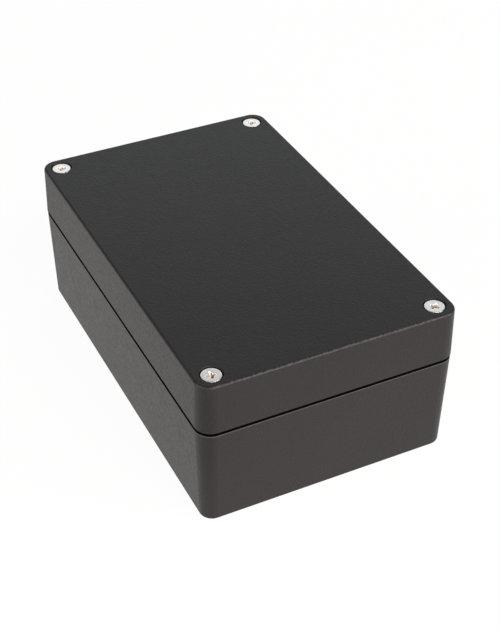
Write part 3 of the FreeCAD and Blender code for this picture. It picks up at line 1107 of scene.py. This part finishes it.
@dataclass
class SealCord:
    """The rubber cord in the groove of the lid, led round the inside of the corner bays."""

    half_x: float = 77.95
    half_y: float = 48.35
    notch_x: float = 64.95
    notch_y: float = 22.15
    bend: float = 3.4
    notch_bend: float = 4.0
    low: float = 42.2
    width: float = 1.8
    height: float = 2.0
    squareness: float = 0.55

    def path(self) -> tuple[np.ndarray, np.ndarray]:
        """Middle line and its outward normals.

        Each corner of the stepped rectangle is an arc of its bend radius, tangent to both runs.
        The normal is the way from the arc's centre, or towards it where the bend is hollow.

        Returns:
            Points and normals in plan, each by row and axis.
        """
        points, normals = [], []
        quarter = np.radians(np.linspace(0.0, 90.0, 9))
        notch = (self.notch_x, self.notch_y)
        bends = ((self.half_x, self.notch_y), notch, (self.notch_x, self.half_y))
        for step, (sx, sy) in enumerate(((1, 1), (-1, 1), (-1, -1), (1, -1))):
            start = math.radians(90.0 * step)
            for corner in bends[::sx * sy]:
                hollow = corner == notch
                radius = self.notch_bend if hollow else self.bend
                inward = radius if hollow else -radius
                centre = np.array([sx * (corner[0] + inward), sy * (corner[1] + inward)])
                turn = start + (1.5 * math.pi - quarter if hollow else quarter)
                out = np.stack([np.cos(turn), np.sin(turn)], axis=-1)
                points.append(centre + radius * out)
                normals.append(-out if hollow else out)
        return np.concatenate(points), np.concatenate(normals)

    def build(self, material: bpy.types.Material) -> bpy.types.Object:
        """Make the cord and put it in place of its solid.

        A squarish section is carried along the path, upright and across it.

        Args:
            material: Its finish.

        Returns:
            The piece.
        """
        points, normals = self.path()
        across, upright = squarish(20, self.squareness)
        plan = points[:, None, :] + normals[:, None, :] * (across * self.width / 2.0)[None, :, None]
        height = np.broadcast_to(self.low + self.height / 2.0 * (1.0 + upright), plan.shape[:2])
        cord = Sheet.looped(np.concatenate([plan, height[..., None]], axis=-1))
        piece = cord.piece("sealing_cord", material)
        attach(piece, Half.LID.body)
        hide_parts("lid_gasket")
        return piece


# Studio

def compass(turn: float, climb: float) -> Vector:
    """Unit vector of a turn from the front towards the right and a climb, in degrees."""
    turn, climb = math.radians(turn), math.radians(climb)
    level = math.cos(climb)
    return Vector((math.sin(turn) * level, -math.cos(turn) * level, math.sin(climb)))


@dataclass(frozen=True)
class Softbox:
    """A soft rectangular lamp that faces the object: turn and climb in degrees, sizes in metres."""

    name: str
    turn: float
    climb: float
    distance: float
    width: float
    height: float
    power: float
    tint: Colour = WHITE

    def place(self, target: Vector) -> None:
        """Hang the lamp.

        Args:
            target: Point that it faces.
        """
        way = compass(self.turn, self.climb)
        lamp = bpy.data.lights.new(self.name, "AREA")
        lamp.shape = "RECTANGLE"
        lamp.size = self.width
        lamp.size_y = self.height
        lamp.energy = self.power
        lamp.color = self.tint
        holder = in_scene(self.name, lamp)
        holder.location = target + way * self.distance
        holder.rotation_euler = way.to_track_quat("Z", "Y").to_euler()


@dataclass(frozen=True)
class Camera:
    """The viewpoint: compass turn and climb in degrees, distance and target in metres."""

    turn: float = 65.1
    climb: float = 36.84
    roll: float = -0.55
    distance: float = 0.5253
    lens: float = 76.24
    sensor: float = 36.0
    near: float = 0.01
    shift: Band = (0.0426, -0.0235)
    target: Place = (0.00099, -0.00533, 0.031)

    def place(self) -> None:
        """Make the camera and use it."""
        back = compass(self.turn, self.climb)
        right = compass(self.turn + 90.0, 0.0)
        up, roll = back.cross(right), math.radians(self.roll)
        level = right * math.cos(roll) + up * math.sin(roll)
        upright = up * math.cos(roll) - right * math.sin(roll)
        lens = bpy.data.cameras.new("view")
        lens.sensor_width = self.sensor
        lens.lens = self.lens
        lens.shift_x, lens.shift_y = self.shift
        lens.clip_start = self.near
        facing = Matrix((level, upright, back)).transposed().to_4x4()
        place = Vector(self.target) + back * self.distance
        holder = in_scene("view", lens)
        holder.matrix_world = Matrix.Translation(place) @ facing
        bpy.context.scene.camera = holder


@dataclass
class Studio:
    """A white table in soft light, with a dim room above it."""

    room: float = 0.075
    horizon: float = 0.8
    horizon_band: Band = (0.22, 0.02)
    paper: Colour = (0.86, 0.86, 0.86)
    paper_glow: Colour = (1.0, 0.985, 0.955)
    glow_share: float = 0.955
    foot: Place = (78.9, 49.3, 5.0)
    # Painted shade in the table's reflections, far out and in a round patch before the near corner.
    far_band: Band = (15.0, 110.0)
    far_painted_shade: float = 0.1
    shade: Band = (150.0, -100.0)
    shade_band: Band = (90.0, 40.0)
    shade_loss: float = 0.45
    reach: float = 2.6
    aim: Place = (0.0, 0.0, 0.03)
    lamps: tuple[Softbox, ...] = (
        Softbox("key", 110.0, 30.0, 1.5, 2.4, 1.4, 63.0, (1.0, 0.91, 0.89)),
        Softbox("front", 5.0, 16.0, 1.2, 1.4, 0.55, 12.5, (1.0, 0.97, 0.92)),
        Softbox("behind", 243.0, 28.0, 1.2, 1.5, 0.75, 3.65, (0.87, 0.95, 0.99)),
    )
    camera: Camera = Camera()

    def _table(self) -> None:
        """White table.

        Camera, mirror and glass rays see mostly its own white, so it stays white in reflections
        too, and the rest of it still takes the shadow. In reflections it carries painted shade:
        it is a little darker far from the object, and a painted shadow darkens a round patch
        before the near corner.
        """
        shader = Shader("white_table")
        paper = shader.node("ShaderNodeBsdfDiffuse", {}, {"Color": self.paper})
        x, y, _ = shader.millimetres()
        # Painted shade: reflections of the table are darker far from the object and in a round patch.
        far = shader.beyond(*self.foot).step(*self.far_band)
        away = ((x - self.shade[0]) ** 2.0 + (y - self.shade[1]) ** 2.0).root()
        mirrored = (1.0 - far * self.far_painted_shade) * (1.0 - away.step(*self.shade_band) * self.shade_loss)
        colour = shader.mixed(shader.direct(), shader.tinted(self.paper_glow, mirrored), WHITE)
        glow = shader.node("ShaderNodeEmission", {}, {"Color": colour, "Strength": 1.0})
        layers = {0: shader.seen() * self.glow_share, 1: paper.outputs[0], 2: glow.outputs[0]}
        mixed = shader.node("ShaderNodeMixShader", {}, layers)
        shader.node("ShaderNodeOutputMaterial", {}, {"Surface": mixed.outputs[0]})
        mesh = bpy.data.meshes.new("table")
        low, high = -self.reach, self.reach
        corners = [(low, low, 0.0), (high, low, 0.0), (high, high, 0.0), (low, high, 0.0)]
        mesh.from_pydata(corners, [], [(0, 1, 2, 3)])
        mesh.materials.append(shader.material)
        table = in_scene("table", mesh)

    def _room(self) -> None:
        """World: white to the camera, and otherwise white near the ground and dim overhead."""
        world = bpy.data.worlds.new("room")
        bpy.context.scene.world = world
        nodes = Nodes(world)
        way = nodes.node("ShaderNodeTexCoord").outputs["Generated"]
        height = Value(nodes, nodes.node("ShaderNodeSeparateXYZ", {}, {0: way}).outputs[2])
        dim = self.room + height.step(*self.horizon_band) * (self.horizon - self.room)
        white = {"Color": WHITE, "Strength": dim.highest(nodes.direct())}
        glow = nodes.node("ShaderNodeBackground", {}, white)
        nodes.node("ShaderNodeOutputWorld", {}, {"Surface": glow.outputs[0]})

    def build(self) -> None:
        """Set up the table, the room, the lamps, the camera and the view."""
        self._table()
        self._room()
        for lamp in self.lamps:
            lamp.place(Vector(self.aim))
        self.camera.place()
        bpy.context.scene.view_settings.view_transform = "Standard"


def report(pieces: Iterable[bpy.types.Object]) -> None:
    """Log each piece with its number of faces."""
    for piece in pieces:
        log.info("%s: %d faces", piece.name, len(piece.data.polygons))


def main() -> None:
    """Dress the castings, build the small parts and set up the studio."""
    logging.basicConfig(level=logging.INFO, format="%(name)s: %(message)s")
    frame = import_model()
    report(Castings().dress(frame["nodes"]))
    steel = ScrewSteel().build()
    nylon = Nylon().build()
    zinc = ZincPlate().build()
    for corner in Corner:
        report([LidScrew(corner).build(steel), CaptiveWasher(corner).build(nylon)])
    for half in Half:
        report(EarthTerminal(half).build(zinc))
    report([SealCord().build(SealFoam().build())])
    Studio().build()


if __name__ == "__main__":
    main()
